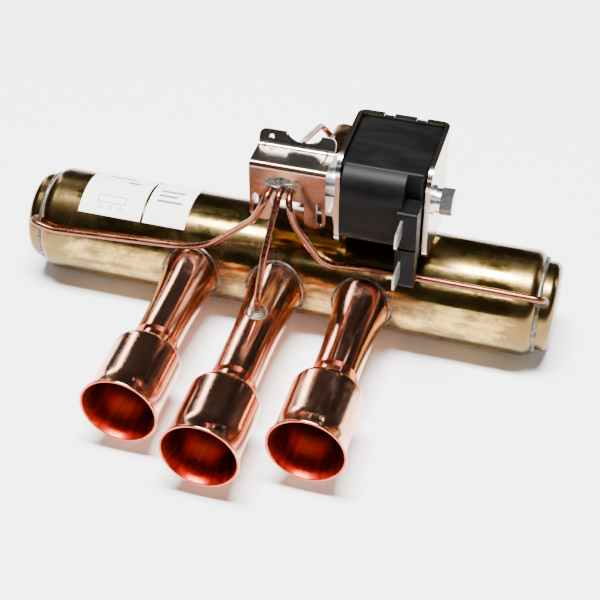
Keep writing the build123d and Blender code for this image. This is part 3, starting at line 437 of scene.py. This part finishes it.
def label_finish():
    """White printed film: a faint weave of dirt, with plain grey bars, a green frame and green rings as print."""
    m = Maker("label_film", metallic=0.0, roughness=0.4)
    around = (m.y - AXIS_Y).turn(m.z - AXIS_Z) * BODY_R
    dirt = m.noise((0.5, 0.5, 0.5), 5.0, 0.65)
    paper = m.noise((3.0, 3.0, 3.0), 2.0, 0.5)

    def bar(left, right, low, high):
        """1 inside a rectangle in millimetres, across the label and round the tube."""
        across = (m.x.step(left - PRINT_BLUR, left + PRINT_BLUR)
                  * m.x.step(right + PRINT_BLUR, right - PRINT_BLUR))
        return (across * around.step(low - PRINT_BLUR, low + PRINT_BLUR)
                * around.step(high + PRINT_BLUR, high - PRINT_BLUR))

    left = LABEL_LEFT
    grey = bar(left + 14.0, left + 18.5, 3.0, 4.2)
    for start, length, low in ((5.5, 11.0, 6.2), (27.5, 9.5, -4.0), (27.5, 7.0, -1.2), (27.5, 9.0, 1.6)):
        grey = grey.most(bar(left + start, left + start + length, low, low + 1.1))
    ring = bar(left + 6.0, left + 17.0, -8.4, -5.0) - bar(left + 6.5, left + 16.5, -7.9, -5.5)
    ds = around + 10.0
    for start in (7.6, 11.5, 15.4):
        dx = m.x - (left + start)
        far = (dx * dx + ds * ds).root()
        ring = ring.most(far.step(1.0, 0.9) - far.step(0.65, 0.55))
    tone = m.mix(dirt.step(0.5, 0.75) * 0.35, (0.84, 0.83, 0.80), (0.60, 0.57, 0.52))
    tone = m.mix(grey * 0.9, tone, (0.05, 0.05, 0.055))
    m.colour(m.mix(ring * 0.95, tone, (0.03, 0.34, 0.25)))
    m.roughness(0.36 + paper * 0.12 + dirt * 0.08)
    m.bump(paper * 0.4 + dirt * 0.5, 0.3, 0.05)
    return m.material


def plastic_finish(name, tone):
    """Machined nylon or fluorocarbon: pale, with faint tool marks."""
    m = Maker(name, metallic=0.0, roughness=0.45)
    marks = m.noise((1.2, 0.4, 0.4), 3.0, 0.6)
    cloud = m.noise((0.2, 0.2, 0.2), 3.0, 0.5)
    m.colour(m.mix(cloud.step(0.3, 0.7), tone, darker(tone, 0.86)))
    m.roughness(0.40 + marks * 0.15)
    m.bump(marks, 0.4, 0.05)
    return m.material


# ---------------------------------------------------------------- surfaces
def surface(name, grids, material, body, loop=True):
    """One piece from grids of points in millimetres. Each row is a closed ring; the rows close into a loop, or
    where loop is off the first and last ring end as flat faces."""
    points, faces, start = [], [], 0
    for grid in grids:
        rows, columns = grid.shape[:2]
        index = np.arange(rows * columns).reshape(rows, columns) + start
        right = np.roll(index, -1, axis=1)
        down = np.roll(index, -1, axis=0)
        corner = np.roll(right, -1, axis=0)
        quads = np.stack([index, right, corner, down], axis=-1)[:rows if loop else rows - 1].reshape(-1, 4)
        flat = grid.reshape(-1, 3)
        a, b, c, d = (flat[quads[:, i] - start] for i in range(4))
        volume = np.einsum("ij,ij->", a, np.cross(b, c)) + np.einsum("ij,ij->", a, np.cross(c, d))
        outward = 1 if volume > 0 else -1
        faces += quads[:, ::outward].tolist()
        if not loop:
            faces += [index[0, ::-outward].tolist(), index[-1, ::outward].tolist()]
        points.append(flat / MM)
        start += rows * columns
    mesh = bpy.data.meshes.new(name)
    mesh.from_pydata(np.concatenate(points).tolist(), [], faces)
    mesh.polygons.foreach_set("use_smooth", np.ones(len(mesh.polygons), dtype=bool))
    mesh.materials.append(material)
    mesh.update()
    piece = bpy.data.objects.new(name, mesh)
    bpy.context.scene.collection.objects.link(piece)
    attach(piece, body)
    return piece


def ripple(u, v, seed):
    """A smooth uneven field near 0 to 1: a sum of sine waves round the loop u and the ring v, both in turns."""
    rng = np.random.default_rng(seed)
    total = np.zeros(np.broadcast(u, v).shape)
    for wave in range(1, 9):
        phase = rng.uniform(0, 1, 3)
        around = rng.integers(1, 4)
        total += np.sin(TAU * (wave * 2 * u + around * v + phase[0])) * phase[1] / wave ** 0.6
    return 0.5 + 0.22 * total


def dress(nodes, material):
    """Put a material on CAD nodes."""
    for name in nodes:
        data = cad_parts[name].data
        if data.materials:
            data.materials[0] = material
        else:
            data.materials.append(material)


# ---------------------------------------------------------------- operators, one for each group of like pieces
class VALVE_OT_brass(bpy.types.Operator):
    """Tarnished brass on the main tube, its end caps, the valve seat and the pilot body"""
    bl_idname = "valve.brass"
    bl_label = "Brass body"

    def execute(self, context):
        metals = context.scene.valve_metals
        dress(["body_tube", "end_cap_left", "end_cap_right"], brass_finish("tube_brass", metals, 1.0))
        dress(["valve_seat", "pilot_body", "pilot_seat"], brass_finish("turned_brass", metals, 0.5))
        return {"FINISHED"}


class VALVE_OT_ports(bpy.types.Operator):
    """Polished copper on the stubs and flared sockets"""
    bl_idname = "valve.ports"
    bl_label = "Copper ports"

    def execute(self, context):
        metals = context.scene.valve_metals
        for side, x in (("left", -PORT_X), ("right", PORT_X)):
            dress(["stub_" + side, "socket_" + side], copper_finish("copper_" + side, metals, x, SIDE_MOUTH))
        dress(["stub_middle", "socket_middle"], copper_finish("copper_middle", metals, 0.0, MIDDLE_MOUTH))
        # this stub has no socket, so a mouth far in front of it keeps the red inside off
        dress(["discharge_stub"], copper_finish("copper_discharge", metals, 0.0, 2 * MIDDLE_MOUTH))
        return {"FINISHED"}


class VALVE_OT_capillaries(bpy.types.Operator):
    """Brown annealed copper on the capillary tubes"""
    bl_idname = "valve.capillaries"
    bl_label = "Capillaries"

    def execute(self, context):
        dress(["capillary_left", "capillary_middle", "capillary_right", "capillary_discharge"],
              capillary_finish(context.scene.valve_metals))
        return {"FINISHED"}


class VALVE_OT_solder(bpy.types.Operator):
    """Uneven solder in the end grooves, on the bracket, round the stubs and where the capillaries end"""
    bl_idname = "valve.solder"
    bl_label = "Solder and braze"

    def end_rings(self, grey, size):
        """Rings in the end grooves: a small oval of varying size carried round the main axis."""
        u = np.linspace(0, 1, 240, endpoint=False)[:, None]
        v = np.linspace(0, 1, 14, endpoint=False)[None, :]
        grids = []
        groove, above, beyond, thick = 1.15, 0.35, 0.30, 0.85
        cap_low, cap_high = span("end_cap_right")
        neck = (cap_high[2] - cap_low[2]) / 2 - groove
        for side, seed in ((-1, 3), (1, 8)):
            lump = 1 + size.lumps * (ripple(u, v * 0, seed) - 0.5)
            across = np.cos(TAU * v) * size.ring_width * lump
            out = np.sin(TAU * v) * thick * lump * (1 + 0.2 * ripple(u, v, seed + 1))
            radius = neck + above + out + 0 * u
            x = side * (LIP_X + beyond + across) + 0 * u
            grids.append(np.stack([x, AXIS_Y + radius * np.cos(TAU * u),
                                   AXIS_Z + radius * np.sin(TAU * u)], axis=-1))
        piece = surface("end_solder_rings", grids, grey, "valve")
        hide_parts("end_solder")

    def stub_beads(self, grey, size):
        """Beads along the line where each stub meets the main tube: an oval carried round that saddle curve."""
        u = np.linspace(0, 1, 160, endpoint=False)[:, None]
        v = np.linspace(0, 1, 12, endpoint=False)[None, :]
        inset, thinner, half_width, lift = 0.62, 2.1, 0.5, 0.05
        wide = (BEAD_HIGH[2] - BEAD_LOW[2]) / 2 - inset
        grids = []
        for x, out, radius, seed in ((-PORT_X, -1, wide, 1), (0.0, -1, wide, 4), (PORT_X, -1, wide, 6),
                                     (0.0, 1, wide - thinner, 9)):
            lump = 1 + size.lumps * (ripple(u, v * 0, seed) - 0.5)
            ring = radius + np.cos(TAU * v) * half_width * lump
            dx, dz = ring * np.cos(TAU * u), ring * np.sin(TAU * u)
            rise = np.sin(TAU * v) * size.bead_height * lump
            y = out * (np.sqrt(np.maximum(BODY_R ** 2 - dz ** 2, 1.0)) + rise + lift)
            grids.append(np.stack([x + dx, AXIS_Y + y, AXIS_Z + dz + 0 * y], axis=-1))
        piece = surface("stub_beads", grids, grey, "valve")
        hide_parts("braze_beads")

    def patch(self, grey):
        """A low uneven dome on the bracket's front, drawn up round each capillary, closed by a flat back."""
        u = np.linspace(0, 1, 96, endpoint=False)[:, None]
        front, rear = 34, 8
        s = np.concatenate([np.linspace(0.02, 1, front), np.linspace(1, 0.02, rear)])[None, :]
        back = np.concatenate([np.zeros(front), np.ones(rear)])[None, :]
        dome, cone, cone_r = 0.75, 0.9, 1.7
        middle = (PATCH_LOW + PATCH_HIGH) / 2
        half = (PATCH_HIGH - PATCH_LOW) / 2
        edge = 0.92 + 0.34 * (ripple(u, 0 * u, 12) - 0.5) + 0.07 * np.sin(TAU * 5 * u)
        x = middle[0] + half[0] * s * edge * np.cos(TAU * u)
        z = middle[2] + half[2] * s * edge * np.sin(TAU * u)
        height = dome * (1 - s ** 4) * (0.3 + 1.2 * ripple(u, s, 15))
        for index in (-1, 0, 1):
            far = np.hypot(x - middle[0] - index * CAPILLARY_PITCH, z - PILOT_Z)
            height = height + cone * np.exp(-(far / cone_r) ** 2)
        y = PLATE_FRONT - np.where(back > 0, 0.0, height * (s < 0.999))
        grid = np.stack([x, y + 0 * x, z], axis=-1)
        piece = surface("bracket_solder", [grid], grey, "valve")
        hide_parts("pilot_solder")

    def entry_pool(self, silver, size):
        """Solder that ran out over the middle stub where its capillary enters: a flat ring with a raised rim, bent
        round the stub. Its section runs out along the top and back along the stub's surface."""
        u = np.linspace(0, 1, 72, endpoint=False)[:, None]
        top = np.linspace(0, 1, 16)
        s = np.concatenate([top, top[::-1]])[None, :]
        above = np.concatenate([np.ones(16), np.zeros(16)])[None, :]
        inner, outer = 1.6, 3.9
        gap, film, rim_height, collar_height = 0.02, 0.08, 0.34, 0.7
        edge = 1 + 0.3 * size.lumps * (ripple(u, 0 * u, 21) - 0.5)
        far = inner + (outer * edge - inner) * s
        rim = rim_height * np.exp(-((s - 0.84) / 0.12) ** 2)
        collar = collar_height * np.exp(-(s / 0.22) ** 2)
        lift = gap + above * (film + rim + collar) * (0.8 + 0.4 * ripple(u, s, 23)) * (s < 0.999)
        turn = far * np.cos(TAU * u) / STUB_R
        radius = STUB_R + lift
        grid = np.stack([radius * np.sin(turn), AXIS_Y - ENTRY_FRONT + far * np.sin(TAU * u) + 0 * lift,
                         AXIS_Z + radius * np.cos(turn)], axis=-1)
        surface("entry_pool", [grid], silver, "valve")

    def execute(self, context):
        size = context.scene.valve_solder
        grey = solder_finish("solder_grey", (0.17, 0.155, 0.14), (0.035, 0.03, 0.025))
        self.end_rings(grey, size)
        self.stub_beads(grey, size)
        self.patch(grey)
        silver = solder_finish("solder_silver", (0.26, 0.25, 0.24), (0.06, 0.05, 0.045))
        self.entry_pool(silver, size)
        dress(["capillary_solder"], silver)
        return {"FINISHED"}


class VALVE_OT_bracket(bpy.types.Operator):
    """Bright plated sheet on the pilot bracket and the coil yoke"""
    bl_idname = "valve.bracket"
    bl_label = "Bracket and yoke"

    def execute(self, context):
        metals = context.scene.valve_metals
        dress(["pilot_bracket"], plate_finish("bracket_plate", metals, 0, 0.95, copper_reflection=1.0))
        dress(["coil_yoke"], plate_finish("yoke_plate", metals, 1, 1.05))
        return {"FINISHED"}


class VALVE_OT_coil(bpy.types.Operator):
    """Black moulded plastic on the coil, and its winding and blade terminals"""
    bl_idname = "valve.coil"
    bl_label = "Coil"

    def execute(self, context):
        dress(["coil_moulding"], moulding_finish())
        dress(["coil_winding"], capillary_finish(context.scene.valve_metals))
        dress(["terminal_upper", "terminal_lower"], steel_finish("tinned_blade", (0.74, 0.73, 0.70), 0.24))
        return {"FINISHED"}


class VALVE_OT_fasteners(bpy.types.Operator):
    """Zinc on the coil's screw and washers, turned steel on the core, plunger, tube, pistons, link and rivets"""
    bl_idname = "valve.fasteners"
    bl_label = "Screw, washers and steel parts"

    def execute(self, context):
        dress(["coil_screw", "flat_washer", "spring_washer"], steel_finish("zinc_plate", (0.80, 0.80, 0.79), 0.16))
        dress(["pilot_tube", "fixed_core", "plunger", "piston_left", "piston_right",
               "piston_rivets", "piston_link"], steel_finish("turned_steel", (0.60, 0.60, 0.61), 0.22))
        return {"FINISHED"}


class VALVE_OT_spring(bpy.types.Operator):
    """The plunger's return spring, built at one length; in the valve it shortens as the plunger moves"""
    bl_idname = "valve.spring"
    bl_label = "Return spring"

    def execute(self, context):
        """A round wire carried along a helix about the pilot axis; its ring lies square to the helix."""
        low, high = span("pilot_spring")
        wire, turns, stroke = 0.25, 7.0, 3.6
        radius = (high[2] - low[2]) / 2 - wire
        u = np.linspace(0, 1, 260)[:, None]
        v = np.linspace(0, 1, 10, endpoint=False)[None, :]
        length = high[0] - low[0] - 2 * wire
        angle = TAU * turns * u
        lean = math.atan2(length, TAU * radius * turns)
        out, along = wire * np.cos(TAU * v), wire * np.sin(TAU * v)
        ring = radius + out
        x = low[0] + wire + length * u + along * math.cos(lean)
        y = PILOT_Y + ring * np.cos(angle) + along * math.sin(lean) * np.sin(angle)
        z = PILOT_Z + ring * np.sin(angle) - along * math.sin(lean) * np.cos(angle)
        piece = surface("return_spring", [np.stack([x, y, z], axis=-1)],
                        steel_finish("spring_wire", (0.62, 0.61, 0.58), 0.2), "valve", loop=False)
        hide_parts("pilot_spring")
        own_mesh(piece)
        return {"FINISHED"}


class VALVE_OT_slides(bpy.types.Operator):
    """Nylon on the slides and pale fluorocarbon on the piston seals"""
    bl_idname = "valve.slides"
    bl_label = "Slides and seals"

    def execute(self, context):
        dress(["slide_block", "pilot_slide"], plastic_finish("slide_nylon", (0.84, 0.80, 0.68)))
        dress(["seal_left", "seal_right"], plastic_finish("seal_white", (0.88, 0.88, 0.86)))
        return {"FINISHED"}


class VALVE_OT_label(bpy.types.Operator):
    """A white film with plain bars, a frame and rings, round the upper side of the main tube"""
    bl_idname = "valve.label"
    bl_label = "Label"

    def execute(self, context):
        dress(["label"], label_finish())
        return {"FINISHED"}


class VALVE_OT_stage(bpy.types.Operator):
    """Pale floor, soft panels, even sky and the camera"""
    bl_idname = "valve.stage"
    bl_label = "Stage"

    def panel(self, name, place, size, power):
        """A soft rectangular light at place, facing the valve."""
        data = bpy.data.lights.new(name, "AREA")
        data.shape = "RECTANGLE"
        data.size, data.size_y = size
        data.energy = power
        light = bpy.data.objects.new(name, data)
        light.location = place
        away = np.array(place) - LIGHT_TARGET
        flat = math.hypot(away[0], away[1])
        light.rotation_euler = (math.atan2(flat, away[2]), 0.0, math.atan2(away[0], -away[1]))
        bpy.context.scene.collection.objects.link(light)

    def execute(self, context):
        studio = context.scene.valve_studio
        mesh = bpy.data.meshes.new("floor")
        corners = [(x * FLOOR_HALF, y * FLOOR_HALF, 0.0) for x, y in ((-1, -1), (1, -1), (1, 1), (-1, 1))]
        mesh.from_pydata(corners, [], [(0, 1, 2, 3)])
        m = Maker("floor_pale", metallic=0.0, roughness=0.8)
        m.shader.inputs["Specular IOR Level"].default_value = 0.1
        m.colour((0.93, 0.93, 0.93, 1.0))
        mesh.materials.append(m.material)
        floor = bpy.data.objects.new("floor", mesh)
        context.scene.collection.objects.link(floor)
        self.panel("overhead", (0.0, -0.1, 1.6), (0.9, 0.3), studio.key_power)
        self.panel("camera_strip", (0.3, -1.0, 0.95), (1.1, 0.10), 3.0)
        self.panel("back_strip", (-0.6, 0.62, 0.42), (0.08, 0.6), 2.0)
        self.panel("side_strip", (0.95, 0.5, 0.35), (0.10, 0.6), 2.0)
        world = bpy.data.worlds.new("studio")
        world.use_nodes = True
        sky = world.node_tree.nodes["Background"]
        sky.inputs["Color"].default_value = (1.0, 1.0, 1.0, 1.0)
        sky.inputs["Strength"].default_value = studio.sky
        context.scene.world = world
        data = bpy.data.cameras.new("camera")
        data.sensor_width = 36.0
        data.lens = studio.focal_length
        camera = bpy.data.objects.new("camera", data)
        camera.location = CAMERA_PLACE
        camera.rotation_euler = (math.radians(CAMERA_TILT), 0.0, math.radians(CAMERA_TURN))
        context.scene.collection.objects.link(camera)
        context.scene.camera = camera
        return {"FINISHED"}


STEPS = (VALVE_OT_brass, VALVE_OT_ports, VALVE_OT_capillaries, VALVE_OT_solder, VALVE_OT_bracket, VALVE_OT_coil,
         VALVE_OT_fasteners, VALVE_OT_spring, VALVE_OT_slides, VALVE_OT_label, VALVE_OT_stage)


class VALVE_PT_panel(bpy.types.Panel):
    """Lists the sizes, colours and steps of the valve"""
    bl_label = "Reversing valve"
    bl_idname = "VALVE_PT_panel"
    bl_space_type = "VIEW_3D"
    bl_region_type = "UI"
    bl_category = "Valve"

    def draw(self, context):
        scene = context.scene
        for group in (scene.valve_metals, scene.valve_solder, scene.valve_studio):
            for name in group.__annotations__:
                self.layout.prop(group, name)
        for step in STEPS:
            self.layout.operator(step.bl_idname)


CLASSES = (ValveMetals, ValveSolder, ValveStudio) + STEPS + (VALVE_PT_panel,)


def register():
    for cls in CLASSES:
        bpy.utils.register_class(cls)
    bpy.types.Scene.valve_metals = bpy.props.PointerProperty(type=ValveMetals)
    bpy.types.Scene.valve_solder = bpy.props.PointerProperty(type=ValveSolder)
    bpy.types.Scene.valve_studio = bpy.props.PointerProperty(type=ValveStudio)


def unregister():
    for name in ("valve_metals", "valve_solder", "valve_studio"):
        delattr(bpy.types.Scene, name)
    for cls in reversed(CLASSES):
        bpy.utils.unregister_class(cls)


def main():
    register()
    for step in STEPS:
        group, name = step.bl_idname.split(".")
        getattr(getattr(bpy.ops, group), name)()


if __name__ == "__main__":
    main()
